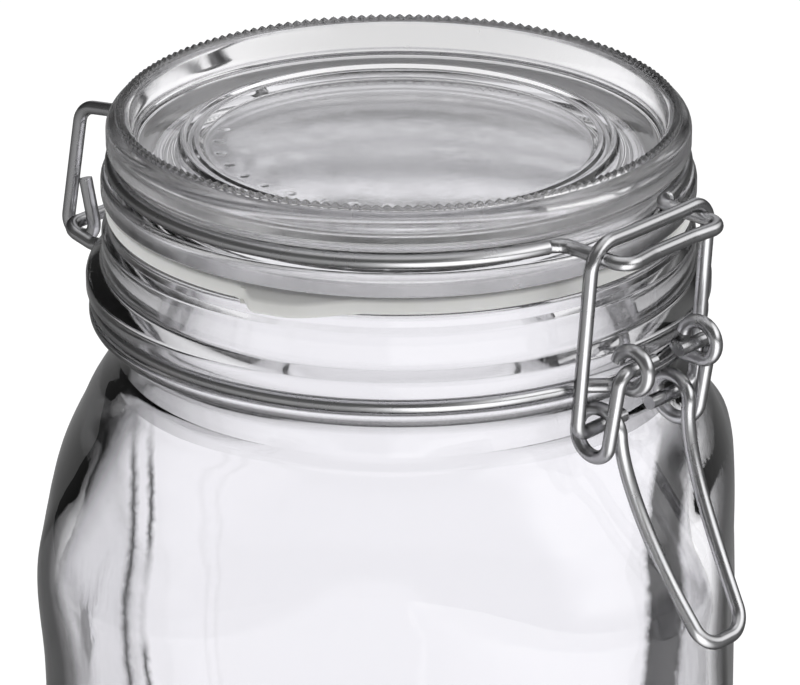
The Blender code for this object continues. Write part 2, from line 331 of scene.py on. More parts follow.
def smooth_levels(levels, step):
    """Levels between the given ones on a smooth curve, about one for each step in mm."""
    points = [Vector(level) for level in levels]
    ends = [points[0] * 2 - points[1]] + points + [points[-1] * 2 - points[-2]]
    path = [points[0]]
    for first, second, third, fourth in zip(ends, ends[1:], ends[2:], ends[3:]):
        count = max(1, round((third - second).length / step))
        for number in range(1, count + 1):
            u = number / count
            path.append(
                second * (1 - u) ** 2 * (1 + 2 * u)
                + third * u**2 * (3 - 2 * u)
                + (third - first) * (0.5 * u * (1 - u) ** 2)
                - (fourth - second) * (0.5 * u**2 * (1 - u))
            )
    return path


def heel_levels(half, corner, radius, floor, steps):
    """A quarter round from the floor into the side: (height, half width, corner)."""
    levels = []
    for number in range(steps + 1):
        turn = math.pi / 2 * number / steps
        inset = radius * (1 - math.sin(turn))
        levels.append((floor + radius * (1 - math.cos(turn)), half - inset, corner - inset))
    return levels


print("a level 50 mm by 55 mm is round by", round(roundness(50, 55), 2))

# %% [markdown]
# These are the levels themselves. The body goes up square and bows a little, swells below the
# shoulder, and turns round as it draws in to the neck. The neck is turned like the lid: a waist,
# a lower bead, a groove where the wire lies, an upper bead, the plain wall and the rim. The wall
# of such a jar is some 4 mm thick and thicker in the floor, which a list for each side of the
# glass can say and a single thickness could not.

# %% Jar: the levels
CORNER = 66.6
WALL = 4.4
FLOOR = 7.5
HEEL_INSIDE = 9.0
HEEL_STEPS = 8
outside = heel_levels(HALF_WIDTH, CORNER, HEEL, 0.0, HEEL_STEPS) + smooth_levels(
    (
        (10.0, HALF_WIDTH, CORNER),
        (46.0, HALF_WIDTH * 1.003, CORNER * 1.003),
        (74.0, HALF_WIDTH, CORNER),
        (81.0, HALF_WIDTH, CORNER),
        (86.5, 56.2, 66.8),
        (92.0, 56.4, 66.8),
        (97.0, 56.3, 66.0),
        (102.0, 55.8, 63.6),
        (106.5, 54.4, 59.2),
        (110.5, 52.7, 55.7),
        (114.0, 51.1, 53.1),
        (117.5, 48.9, 51.0),
        (120.0, 47.1, 48.3),
        (122.0, 46.0, 46.4),
    ),
    step=1.6,
)
NECK_OUTLINE = (  # radius, height and corner radius, from the waist over the rim to the mouth
    (46.0, 122.1, 0),
    (45.5, 125.6, 3.0),
    (46.4, 128.2, 1.4),
    (50.6, 129.0, 1.1),
    (50.6, 130.9, 0.7),
    (48.1, 130.9, 0.5),
    (48.1, 133.5, 0.5),
    (51.0, 133.7, 0.5),
    (51.0, 136.5, 1.0),
    (48.4, 138.2, 1.2),
    (48.3, 143.6, 0.7),
    (47.3, 144.5, 0.3),
    (47.3, 146.3, 0.8),
    (42.6, 146.3, 1.2),
    (42.5, 127.0, 6.0),
    (43.6, 120.5, 6.0),
    (43.9, 118.9, 0),
)
neck = [(high, wide, wide) for wide, high in soft_profile(NECK_OUTLINE, spacing=0.5)]
INSIDE = HALF_WIDTH - WALL
INSIDE_CORNER = CORNER - WALL
inside = heel_levels(INSIDE, INSIDE_CORNER, HEEL_INSIDE, FLOOR, HEEL_STEPS) + smooth_levels(
    (
        (18.0, INSIDE, INSIDE_CORNER),
        (46.0, INSIDE * 1.005, INSIDE_CORNER * 1.005),
        (70.0, INSIDE, INSIDE_CORNER),
        (78.0, INSIDE, INSIDE_CORNER),
        (85.0, 51.8, 62.3),
        (92.0, 52.0, 62.1),
        (98.5, 51.4, 59.8),
        (103.5, 50.5, 56.4),
        (108.0, 49.1, 52.7),
        (111.5, 47.4, 50.2),
        (115.0, 45.4, 47.4),
        (118.5, 43.9, 44.2),
    ),
    step=1.8,
)
print("the outside has", len(outside + neck), "levels and the inside", len(inside))

# %% [markdown]
# Now the hand work. The outside and the inside are raised apart, each from its own base square,
# by the same three moves: extrude, scale, and To Sphere where the level is rounder than the one
# below. A wall made with Solidify would need fewer moves, but it would repeat the beads of the
# neck on the inside, and a real jar is smooth there, because only air shapes it.

# %% Jar: raising the wall
def raise_wall(levels):
    """Raise the selected base square through all the levels, turning round where they do."""
    height, share, scale = 0.0, 0.0, 1.0
    for number, (next_height, half, corner) in enumerate(levels):
        next_share = max(share, roundness(half, corner))
        next_scale = scale_at(half, next_share)
        if number == 0:
            bpy.ops.transform.resize(value=(next_scale, next_scale, 1), center_override=(0, 0, 0))
            bpy.ops.transform.translate(value=(0, 0, next_height * MM))
        else:
            raise_ring(next_scale / scale, next_height - height)
        if share < next_share:
            bpy.ops.transform.tosphere(value=(next_share - share) / (1 - share))
        height, share, scale = next_height, next_share, next_scale


raise_wall(outside + neck)
bpy.ops.mesh.delete(type="ONLY_FACE")
bpy.ops.object.mode_set(mode="OBJECT")
outer_wall = bpy.context.object
draw_base_square()
raise_wall(inside)
bpy.ops.mesh.delete(type="ONLY_FACE")
bpy.ops.object.mode_set(mode="OBJECT")
blown = bpy.context.object
print("outer wall:", len(outer_wall.data.vertices), "points, inner:", len(blown.data.vertices))

# %% [markdown]
# Only the outside of the glass ever touches the mould. The inside is blown, so it wanders: long
# gentle waves, and a ripple where the side turns into each corner and the glass is thicker.
# Those ripples help to draw the wavy grey lines that one sees down the corners of such a jar.
# A Displace modifier could wave the wall at random. Written out, the waves keep to the corners.

# %% Jar: the waves of the blown inside
RIPPLE_AT = math.radians(12)
RIPPLE_WIDTH = math.radians(2.6)
RIPPLE_DEPTH = 0.05
WAVE_DEPTH = 0.035
WAVES_FROM = 14.0
WAVES_TO = 117.0


def wander(height, corner):
    """How far a ripple strays sideways at this height, as an angle."""
    slow = math.radians(1.5) * math.sin(height / 8 + 2 * corner)
    quick = math.radians(0.8) * math.sin(height / 3.1 + corner)
    return slow + quick


for point in blown.data.vertices:
    place = point.co / MM
    turn = math.atan2(place.y, place.x)
    corner = round((turn / (math.pi / 2)) - 0.5)
    from_corner = abs(turn - (corner + 0.5) * math.pi / 2)
    stray = from_corner - RIPPLE_AT + wander(place.z, corner)
    ripple = RIPPLE_DEPTH * math.exp(-((stray / RIPPLE_WIDTH) ** 2))
    wave = WAVE_DEPTH * (math.sin(9 * turn + place.z / 13) + math.sin(17 * turn - place.z / 21 + 1))
    rises = min(1.0, max(0.0, (place.z - WAVES_FROM) / 10))
    ends = min(1.0, max(0.0, (WAVES_TO - place.z) / 12))
    point.co.xy = point.co.xy * (1 + (ripple + wave) * (rises * ends) / place.xy.length)
print("inside waved by up to", round(RIPPLE_DEPTH + 2 * WAVE_DEPTH, 3), "mm")

# %% [markdown]
# Both walls end in an open ring, one just under the other, and a bridge of faces closes the
# glass into one skin. Hot glass also sags a little as it leaves the mould, so the shoulder
# stands slightly to one side. A lattice could push it there. Moving the points of the finished
# skin by height is simpler, and keeps the wall as thick as it was.

# %% Jar: joining the outside to the inside
outer_wall.select_set(True)
bpy.ops.object.join()
bpy.ops.object.mode_set(mode="EDIT")
bridge_open_rings()
bpy.ops.object.mode_set(mode="OBJECT")
SAG = 0.8
SAG_HEIGHT = 95.0
SAG_BELOW, SAG_ABOVE = 22.0, 17.0  # how far down and up from there it is felt
for point in bpy.context.object.data.vertices:
    reach = SAG_BELOW if point.co.z < SAG_HEIGHT * MM else SAG_ABOVE
    away = (point.co.z / MM - SAG_HEIGHT) / reach
    point.co.x -= SAG * MM * max(0.0, 1 - away * away) ** 2
jar_glass = finish_piece("jar_pressed_glass", "jar", "jar_body", sharp=50)

# %% [markdown]
# The gasket is one flat ring of moulded pale rubber between the rim of the jar and the lid. Its
# section has soft corners. A torus would have the wrong section, so the section is drawn round
# the axis as a closed band of circles, like the glass, and bridged shut.

# %% Gasket: the ring
GASKET_RADIUS = 47.6
GASKET_SECTION = (  # radius, height and corner radius
    (40.0, 148.0, 0),
    (39.9, 146.6, 0.5),
    (GASKET_RADIUS, 146.6, 0.7),
    (GASKET_RADIUS, 149.3, 0.7),
    (39.9, 149.3, 0.5),
    (39.9, 148.1, 0),
)
GASKET_SEGMENTS = 360
section = soft_profile(GASKET_SECTION, spacing=0.25)
turn_profile(section, segments=GASKET_SEGMENTS, middle="NOTHING")
bridge_open_rings()
print("gasket section in", len(section), "points")

# %% [markdown]
# A tab stands out from the gasket, to pull when the jar has to be opened against its vacuum. It
# is moulded with the ring, so it is the ring's own edge pulled outwards over a short stretch,
# steeply at one end and slowly at the other. It droops a little because nothing holds it up.

# %% Gasket: the tab
TAB_START = math.radians(-117.5)
TAB_END = math.radians(-92.0)
TAB_REACH = 3.4
TAB_DROOP = 0.4
TAB_FROM = 47.0  # points outside this radius are pulled


def eased(value):
    """From 0 to 1 with a soft start and a soft end."""
    value = min(1.0, max(0.0, value))
    return value * value * (3 - 2 * value)


def tab_share(place):
    """How far out the tab has come here, from 0 to 1: steep at one end and long at the other."""
    along = (math.atan2(place.y, place.x) - TAB_START) / (TAB_END - TAB_START)
    return eased(along / 0.2) * eased((1 - along) / 0.6)


column = 2 * math.pi / GASKET_SEGMENTS
for number in range(round((TAB_END - TAB_START) / column)):
    turn = TAB_START + number * column
    share = tab_share(Vector((math.cos(turn), math.sin(turn), 0)))
    if share == 0:
        continue
    across = Vector((-math.sin(turn), math.cos(turn), 0))
    pick(
        lambda place: place.xy.length > TAB_FROM
        and place.x * math.cos(turn) > 0
        and abs(place.dot(across)) < GASKET_RADIUS * column / 2
    )
    wider = 1 + TAB_REACH * share / GASKET_RADIUS
    bpy.ops.transform.resize(value=(wider, wider, 1), center_override=(0, 0, 0))
    bpy.ops.transform.translate(value=(0, 0, -TAB_DROOP * share * MM))
bpy.ops.object.mode_set(mode="OBJECT")
gasket_ring = finish_piece("gasket_rubber", "lid", "gasket", sharp=60)

# %% [markdown]
# All the wires are bent from the same bright steel, 2.3 mm thick. The clamp's own measures are
# simplest on a line that runs from the jar's axis out to the clamp, so a place on a wire is
# given as (out along that line, to the side, up). Every wire of the clamp is the same on both
# sides of that line, so only one half of each is written down.

# %% Wires: the clamp's own measures
CLAMP_AT = math.radians(-37.5)
WIRE = 2.3
NECK_RING = 49.45
NECK_RING_HEIGHT = 132.2
LID_RING = 46.4
LID_RING_HEIGHT = 155.1


def out_side_up(out, side, up):
    """The place of a point of the clamp in the jar's own frame."""
    cos, sin = math.cos(CLAMP_AT), math.sin(CLAMP_AT)
    return Vector((out * cos - side * sin, out * sin + side * cos, up))


def round_the_neck(radius, height, start, end, count):
    """Places on an arc round the jar, where the wire is drawn tight into its groove."""
    turns = [start + (end - start) * step / count for step in range(count + 1)]
    return [(radius * math.cos(turn), radius * math.sin(turn), height) for turn in turns]


def other_half(places):
    """The same places on the other side of the clamp's line, in the order of the wire."""
    return [(out, -side, up) for out, side, up in reversed(places)]


def drawn_curve(ends, count):
    """Places on a Bezier curve after its first point, from its four control places."""
    places = []
    for step in range(1, count + 1):
        u = step / count
        weights = ((1 - u) ** 3, 3 * u * (1 - u) ** 2, 3 * u**2 * (1 - u), u**3)
        mixed = [sum(w * end[axis] for w, end in zip(weights, ends)) for axis in range(3)]
        places.append(tuple(mixed))
    return places


print("the clamp's middle is at", tuple(round(side, 1) for side in out_side_up(60, 0, 130)))

# %% [markdown]
# A wire bender works from a path: straight runs, bends of a known radius and arcs round a
# former. The same path drives a Blender curve whose bevel gives it the wire's thickness, and
# the curve is then made a mesh. Sweeping a circle by hand with extrude would do the same, but
# it would twist and pinch where the wire turns out of one plane.

# %% Wires: drawing one wire
ROUND_SIDES = 8


def draw_wire(name, half, bends, body, node):
    """A wire that is the same on both sides, from the places of one half."""
    start_clean()
    places = half + other_half(half)
    path = bent([out_side_up(*place) for place in places], bends + list(reversed(bends)))
    bpy.ops.curve.primitive_nurbs_path_add(location=(0, 0, 0))
    drawn = bpy.context.object
    drawn.data.splines.clear()
    spline = drawn.data.splines.new("POLY")
    spline.points.add(len(path) - 1)
    for point, place in zip(spline.points, path):
        point.co = (*(place * MM), 1)
    spline.use_smooth = True
    drawn.data.dimensions = "3D"
    drawn.data.twist_mode = "MINIMUM"
    drawn.data.bevel_depth = WIRE / 2 * MM
    drawn.data.bevel_resolution = ROUND_SIDES
    drawn.data.use_fill_caps = True
    bpy.ops.object.convert(target="MESH")
    length = sum((last - first).length for first, last in zip(path, path[1:]))
    print(name, "takes", round(length), "mm of wire")
    return finish_piece(name, body, node, sharp=40)

# %% [markdown]
# The neck wire lies in the groove of the neck. At the back it leaves the groove, straight out,
# and crosses over as the bar on which the lid turns. At the clamp each end is curled into a
# hook that holds one pin of the lever. A true arc would need its own corners, so the hook is
# stepped round its pin point by point, and it leans to the side a little as it goes round.

# %% Wires: the neck wire
HINGE_OUT = 60.0
HINGE_HEIGHT = 132.5
HINGE_SIDE = 17.0
PIVOT_OUT = 56.3
PIVOT_HEIGHT = 135.9
HOOK_BEND = 3.2
HOOK_START, HOOK_SWEEP = -100, 265  # degrees round the lever's pin
HOOK_SIDE = 8.2
HOOK_LEAN = 0.3
HOOK_STEPS = 24
leave_front = math.radians(24)
leave_back = math.pi - math.asin(HINGE_SIDE / NECK_RING)
hook = []
for step in range(HOOK_STEPS + 1):
    turn = math.radians(HOOK_START + HOOK_SWEEP * step / HOOK_STEPS)
    slide = HOOK_SIDE + HOOK_LEAN * (1 - step / HOOK_STEPS)
    out = PIVOT_OUT + HOOK_BEND * math.cos(turn)
    hook.append((out, slide, PIVOT_HEIGHT + HOOK_BEND * math.sin(turn)))
neck_half = list(reversed(hook))
neck_half += [(52.4, 8.9, NECK_RING_HEIGHT + 0.3), (48.9, 11.6, NECK_RING_HEIGHT + 0.1)]
neck_bends = [0] * len(hook) + [2.0, 2.4]
side = round_the_neck(NECK_RING, NECK_RING_HEIGHT, leave_front, leave_back, 90)[:-1]
neck_half += side
neck_bends += [0] * len(side)
neck_half += [
    (NECK_RING * math.cos(leave_back), HINGE_SIDE, NECK_RING_HEIGHT),
    (-53.5, HINGE_SIDE, NECK_RING_HEIGHT - 1.2),
    (-HINGE_OUT, HINGE_SIDE, HINGE_HEIGHT),
]
neck_bends += [2.5, 3.0, 3.0]
neck_wire = draw_wire("neck_bent_wire", neck_half, neck_bends, "jar", "neck_wire")

# %% [markdown]
# The lid wire lies in the groove of the lid. At the back its two legs come down outside the
# gasket and hook under the bar of the neck wire, so the lid can swing up. At the clamp it
# stands out as a flat nose, drawn back a little in the middle, and the bail is pulled down
# over that nose. It is bent from corners and one long arc, as the neck wire is.

# %% Wires: the lid wire
HINGE_LEG = 13.0
NOSE_OUT = 57.9
NOSE_SIDE = 12.0
NOSE_HEIGHT = 154.7
NOSE_DIP = 0.9
under_bar = HINGE_HEIGHT - WIRE - 0.35
leave_back = math.pi - math.asin(HINGE_LEG / LID_RING)
leave_front = math.asin(NOSE_SIDE / LID_RING)
lid_half = [
    (-58.9, HINGE_LEG, 140.3),
    (-56.4, HINGE_LEG, under_bar),
    (-63.6, HINGE_LEG, under_bar),
    (-59.4, HINGE_LEG, LID_RING_HEIGHT - 2.1),
]
lid_bends = [0, 2.6, 2.6, 4.0]
side = round_the_neck(LID_RING, LID_RING_HEIGHT, leave_back, leave_front, 90)
lid_half += side
lid_half += [(NOSE_OUT, NOSE_SIDE, NOSE_HEIGHT), (NOSE_OUT - NOSE_DIP, 5.0, NOSE_HEIGHT - 0.1)]
lid_bends += [2.4] + [0] * (len(side) - 2) + [2.4, 2.6, 9.0]
lid_wire = draw_wire("lid_bent_wire", lid_half, lid_bends, "lid", "lid_wire")

# %% [markdown]
# The lever is the handle. Its two pins turn in the hooks of the neck wire. Below each pin the
# wire is wound once round to make an eye for the bail, and then both strands sweep out and down
# and meet in the round tip that a thumb pushes. The sweep is one Bezier curve, because straight
# runs and bends of one radius would not flow as a handle does.

# %% Wires: the lever
EYE_OUT = 50.4
EYE_HEIGHT = 124.2
EYE_BEND = 3.85
OUTER_STRAND = 11.2
INNER_STRAND = 8.5
EYE_START, EYE_SWEEP = -10, 346  # degrees round the bail's pin
EYE_STEPS = 48
coil = []
for step in range(EYE_STEPS + 1):
    turn = math.radians(EYE_START - EYE_SWEEP * step / EYE_STEPS)
    slide = OUTER_STRAND + (INNER_STRAND - OUTER_STRAND) * step / EYE_STEPS
    out = EYE_OUT + EYE_BEND * math.cos(turn)
    coil.append((out, slide, EYE_HEIGHT + EYE_BEND * math.sin(turn)))
handle = drawn_curve((coil[-1], (53.9, 7.8, 117.0), (61.2, 7.0, 103.5), (67.0, 5.5, 94.6)), 30)
lever_half = [(PIVOT_OUT, 3.0, PIVOT_HEIGHT), (PIVOT_OUT, OUTER_STRAND, PIVOT_HEIGHT)]
lever_half += coil + handle + [(69.3, 5.0, 90.9)]
lever_bends = [0, 2.0] + [0] * (len(coil) + len(handle)) + [4.2]
lever_wire = draw_wire("lever_bent_wire", lever_half, lever_bends, "lever", "lever")

# %% [markdown]
# The bail is the loose loop that does the clamping. Its two pins turn in the eyes of the lever,
# its sides go up past the lid, and its bar, bowed a little, lies over the nose of the lid wire.
# Pushing the lever down draws the eyes below the lever's pins, and the bar pulls the lid shut.
# It is the simplest of the four wires: corners with their bend radii, and nothing else.

# %% Wires: the bail
PIN_HEIGHT = EYE_HEIGHT + 0.9
bail_half = [
    (EYE_OUT, 3.2, PIN_HEIGHT),
    (EYE_OUT, 14.6, PIN_HEIGHT),
    (52.9, 14.3, 157.4),
    (52.9, 6.0, 157.2),
]
bail_wire = draw_wire("bail_bent_wire", bail_half, [0, 2.4, 4.4, 12.0], "bail", "bail")

# %% [markdown]
# A finish in Blender is a tree of nodes. The same few moves come back in every finish here: make
# a node with its settings, reckon with numbers, fade softly from one value to another, and read
# where on the piece a point lies. Each of them is written once, as a small helper.

# %% Finish: helpers for building node trees
def node(tree, kind, **settings):
    """A new node, whose settings are its inputs where they have that name."""
    made = tree.nodes.new(kind)
    for name, value in settings.items():
        if name in made.inputs:
            made.inputs[name].default_value = value
        else:
            setattr(made, name, value)
    return made


def chain(tree, operation, *values):
    """A Math node whose inputs are numbers or the sockets of other nodes."""
    made = node(tree, "ShaderNodeMath", operation=operation)
    for socket, value in zip(made.inputs, values):
        if isinstance(value, (int, float)):
            socket.default_value = value
        else:
            tree.links.new(value, socket)
    return made.outputs["Value"]


def fade(tree, value, start, end, low, high):
    """From low at start to high at end, eased."""
    made = node(tree, "ShaderNodeMapRange", interpolation_type="SMOOTHSTEP")
    limits = {"From Min": start, "From Max": end, "To Min": low, "To Max": high}
    for name, number in limits.items():
        made.inputs[name].default_value = number
    tree.links.new(value, made.inputs["Value"])
    return made.outputs["Result"]


def axes(tree, place="Object"):
    """A point's place, and its three coordinates in metres."""
    place = node(tree, "ShaderNodeTexCoord").outputs[place]
    split = node(tree, "ShaderNodeSeparateXYZ")
    tree.links.new(place, split.inputs["Vector"])
    return place, split.outputs["X"], split.outputs["Y"], split.outputs["Z"]


def set_stops(ramp, stops):
    """Give a Color Ramp node its (position, colour) stops."""
    elements = ramp.color_ramp.elements
    while len(elements) < len(stops):
        elements.new(0.5)
    for element, (position, colour) in zip(elements, stops):
        element.position = position
        element.color = (*colour, 1)


def dress(piece, *finishes):
    """Give a piece its finishes, in the order of its material slots."""
    piece.data.materials.clear()
    for finish in finishes:
        piece.data.materials.append(finish)
    print(piece.name, "wears", ", ".join(finish.name for finish in finishes))

# %% [markdown]
# Pressed glass is never quite flat. The mould leaves long gentle waves, the flame leaves finer
# ones, and both bend what is seen through the wall. One node group makes those waves for the
# jar and the lid, as a normal that leans by the two scales of noise, together with the noise
# itself as a mask. A group is built once and placed in each glass with its own strengths.

# %% Finish: waves in pressed glass
waves = bpy.data.node_groups.new("pressed glass waves", "ShaderNodeTree")
for name, kind in (("Stretch", "Vector"), ("Long waves", "Float"), ("Fine waves", "Float")):
    waves.interface.new_socket(name, in_out="INPUT", socket_type="NodeSocket" + kind)
waves.interface.new_socket("Normal", in_out="OUTPUT", socket_type="NodeSocketVector")
waves.interface.new_socket("Mask", in_out="OUTPUT", socket_type="NodeSocketFloat")
given = waves.nodes.new("NodeGroupInput")
result = waves.nodes.new("NodeGroupOutput")
place = node(waves, "ShaderNodeTexCoord")
stretched = node(waves, "ShaderNodeVectorMath", operation="MULTIPLY")
long_noise = node(waves, "ShaderNodeTexNoise", Scale=1.0, Detail=1.5, Roughness=0.5)
fine_noise = node(waves, "ShaderNodeTexNoise", Scale=9.0, Detail=2.0, Roughness=0.55)
long_bump = node(waves, "ShaderNodeBump", Distance=0.001)
fine_bump = node(waves, "ShaderNodeBump", Distance=0.0001)
waves.links.new(place.outputs["Object"], stretched.inputs[0])
waves.links.new(given.outputs["Stretch"], stretched.inputs[1])
waves.links.new(stretched.outputs["Vector"], long_noise.inputs["Vector"])
waves.links.new(stretched.outputs["Vector"], fine_noise.inputs["Vector"])
waves.links.new(long_noise.outputs["Fac"], long_bump.inputs["Height"])
waves.links.new(fine_noise.outputs["Fac"], fine_bump.inputs["Height"])
waves.links.new(given.outputs["Long waves"], long_bump.inputs["Strength"])
waves.links.new(given.outputs["Fine waves"], fine_bump.inputs["Strength"])
waves.links.new(long_bump.outputs["Normal"], fine_bump.inputs["Normal"])
waves.links.new(fine_bump.outputs["Normal"], result.inputs["Normal"])
waves.links.new(fine_noise.outputs["Fac"], result.inputs["Mask"])
print("wave group of", len(waves.nodes), "nodes")

# %% [markdown]
# Down the front corners the glass is thick and uneven, and it draws the room's dark in long wavy
# lines. The waves of the inside make some of them. The rest are painted shade in the material:
# narrow dark streaks that wander with height and lean where the shoulder begins. Seen square
# on, a thick corner is as clear as the rest, so the painted streaks show only where the wall is
# seen at a slant, and they end before the floor and the neck.

# %% Finish: painted shade streaks in the thick corners
# Each painted shade streak: place from side to side, half width and softness in mm, and darkness
PAINTED_SHADE_STREAKS = ((-38.2, 0.6, 0.6, 0.985), (-35.3, 0.5, 0.5, 0.985), (43.4, 2.5, 0.6, 0.99))
BEND_COUNT = 150.0  # radians of the streaks' bends for each metre of height
BEND_SIZE = 0.0006
JAG_SIZE = 0.0012
SHOULDER_HEIGHT = 0.103
SHOULDER_LEAN = 0.12


def streak_wander(tree, place, z):
    """How far the streaks stand aside at a point, in metres."""
    fine = node(tree, "ShaderNodeTexNoise", Scale=500.0, Detail=3.0, Roughness=0.7)
    tree.links.new(place, fine.inputs["Vector"])
    turns = chain(tree, "SINE", chain(tree, "MULTIPLY", z, BEND_COUNT))
    bend = chain(tree, "MULTIPLY", turns, BEND_SIZE)
    jag = chain(tree, "MULTIPLY", chain(tree, "SUBTRACT", fine.outputs["Fac"], 0.5), JAG_SIZE)
    above = chain(tree, "MAXIMUM", chain(tree, "SUBTRACT", z, SHOULDER_HEIGHT), 0.0)
    lean = chain(tree, "MULTIPLY", above, SHOULDER_LEAN)
    return chain(tree, "ADD", chain(tree, "ADD", bend, jag), lean)


def painted_corner_shade(tree):
    """Brightness of the inside of the jar, with painted shade streaks at its two front corners."""
    place, x, y, z = axes(tree)
    back = chain(tree, "MULTIPLY", streak_wander(tree, place, z), -1.0)
    dark = 0.0
    for middle, half, soft, depth in PAINTED_SHADE_STREAKS:
        side = chain(tree, "MULTIPLY", x, math.copysign(1.0, middle))
        apart = chain(tree, "SUBTRACT", chain(tree, "ADD", side, back), abs(middle) * MM)
        apart = chain(tree, "ABSOLUTE", apart)
        line = fade(tree, apart, (half - soft) * MM, (half + soft) * MM, depth, 0.0)
        dark = chain(tree, "MAXIMUM", dark, line)
    slant = node(tree, "ShaderNodeLayerWeight", Blend=0.5).outputs["Facing"]
    front = fade(tree, y, -0.02, 0.0, 1.0, 0.1)
    above_floor = fade(tree, z, 0.015, 0.03, 0.0, 1.0)
    below_neck = fade(tree, z, 0.112, 0.12, 1.0, 0.0)
    for share in (fade(tree, slant, 0.05, 0.1, 0.0, 1.0), front, above_floor, below_neck):
        dark = chain(tree, "MULTIPLY", dark, share)
    return chain(tree, "SUBTRACT", 1.0, dark)


print(len(PAINTED_SHADE_STREAKS), "streaks at", [streak[0] for streak in PAINTED_SHADE_STREAKS], "mm")

# %% [markdown]
# Three more places of the glass are darker than light alone makes them here: the groove just
# under the neck wire, where the wire shuts the light out, the far side of the lid's crest and
# top, which mirror the dark end of the room, and the panel of the lid towards the back. Each
# helper gives the brightness of a point from 0 to 1 and is later laid over one glass.

# %% Finish: the darker places of the neck and the lid
UNDER_WIRE = (0.1279, 0.1286, 0.13, 0.1307)  # heights in metres
UNDER_WIRE_DARK = 0.9
CREST_FOOT = (0.1565, 0.158)
CREST_DARK = 0.5
TOP_DARK = 0.36
PANEL_BACK = 0.52


def band(tree, value, start, full, last, end):
    """1 between full and last, and 0 outside start and end."""
    return chain(
        tree,
        "MULTIPLY",
        fade(tree, value, start, full, 0.0, 1.0),
        fade(tree, value, last, end, 1.0, 0.0),
    )


def under_wire_shade(tree):
    """Brightness of the neck, which is dark in the ring just under the wire."""
    z = axes(tree)[3]
    ring = band(tree, z, *UNDER_WIRE)
    return chain(tree, "SUBTRACT", 1.0, chain(tree, "MULTIPLY", ring, UNDER_WIRE_DARK))


def crest_shade(tree):
    """Brightness of the outside of the lid, which is greyer in the far part of its crest."""
    y, z = axes(tree)[2:]
    crest = chain(
        tree,
        "MULTIPLY",
        fade(tree, y, 0.02, 0.045, 0.0, CREST_DARK),
        fade(tree, z, *CREST_FOOT, 0.0, 1.0),
    )
    flat = chain(
        tree,
        "MULTIPLY",
        fade(tree, y, -0.032, -0.01, 0.0, TOP_DARK),
        fade(tree, z, *CREST_FOOT, 1.0, 0.0),
    )
    return chain(tree, "SUBTRACT", 1.0, chain(tree, "ADD", crest, flat))


def panel_shade(tree):
    """Brightness of the panel of the lid, which is greyer towards the back."""
    place, _, y, _ = axes(tree)
    cloud = node(tree, "ShaderNodeTexNoise", Scale=35.0, Detail=2.0, Roughness=0.5)
    tree.links.new(place, cloud.inputs["Vector"])
    drift = chain(tree, "MULTIPLY", chain(tree, "SUBTRACT", cloud.outputs["Fac"], 0.5), 0.02)
    return fade(tree, chain(tree, "ADD", y, drift), -0.03, 0.0, 1.0, PANEL_BACK)


print("the neck is darkest from", UNDER_WIRE[1] / MM, "to", UNDER_WIRE[2] / MM, "mm")

# %% [markdown]
# Clear glass has no colour of its own, but a wall seen edge on is deep glass, and it shows the
# dark beside the lit floor. Blender's glass only bends the light, so a ramp on how far the
# surface turns away paints that dark into the colour as painted shade: bright where one looks
# straight through and dark at the edge. Layer Weight stays in each material, and every finish
# also gets the waves of the group and a roughness that wanders a little, as wiped glass has.

# %% Finish: a recipe for clear glass
GLASS_INDEX = 1.5


def glass(name, bump, roughness, shades, local=None, lean=0.0):
    """Clear glass with painted shade that deepens its colour towards the edges: shades are (facing,
    brightness).
    """
    made = bpy.data.materials.new(name)
    made.use_nodes = True
    tree = made.node_tree
    shader = tree.nodes["Principled BSDF"]
    shader.inputs["Metallic"].default_value = 0
    shader.inputs["Transmission Weight"].default_value = 1
    shader.inputs["IOR"].default_value = GLASS_INDEX
    shape = node(tree, "ShaderNodeGroup", node_tree=waves)
    shape.inputs["Stretch"].default_value = (40, 40, 25)
    shape.inputs["Long waves"].default_value = bump[0]
    shape.inputs["Fine waves"].default_value = bump[1]
    smears = node(tree, "ShaderNodeMapRange")
    smears.inputs["From Min"].default_value = 0.35
    smears.inputs["From Max"].default_value = 0.75
    smears.inputs["To Min"].default_value = roughness[0]
    smears.inputs["To Max"].default_value = roughness[1]
    tree.links.new(shape.outputs["Mask"], smears.inputs["Value"])
    tree.links.new(smears.outputs["Result"], shader.inputs["Roughness"])
    tree.links.new(shape.outputs["Normal"], shader.inputs["Normal"])
    # Painted shade: this ramp darkens the glass colour where the surface turns away; the slight
    # blue is the glass's own tint
    ramp = node(tree, "ShaderNodeValToRGB")
    tints_and_shades = [(facing, (shade, shade * 0.995, min(1.0, shade * 1.02))) for facing, shade in shades]
    set_stops(ramp, tints_and_shades)
    facing = node(tree, "ShaderNodeLayerWeight", Blend=0.5).outputs["Facing"]
    if lean:
        # Painted shade: one side of the jar is shaded as if it stood nearer the dark of the room,
        # so its edge is wider there
        sideways = axes(tree)[1]
        facing = chain(tree, "ADD", facing, fade(tree, sideways, -0.03, 0.03, lean, -lean))
    tree.links.new(facing, ramp.inputs["Fac"])
    if local is None:
        tree.links.new(ramp.outputs["Color"], shader.inputs["Base Color"])
        return made
    shaded = node(tree, "ShaderNodeVectorMath", operation="SCALE")
    tree.links.new(ramp.outputs["Color"], shaded.inputs[0])
    tree.links.new(local(tree), shaded.inputs["Scale"])
    tree.links.new(shaded.outputs["Vector"], shader.inputs["Base Color"])
    return made


print("glass of index", GLASS_INDEX)
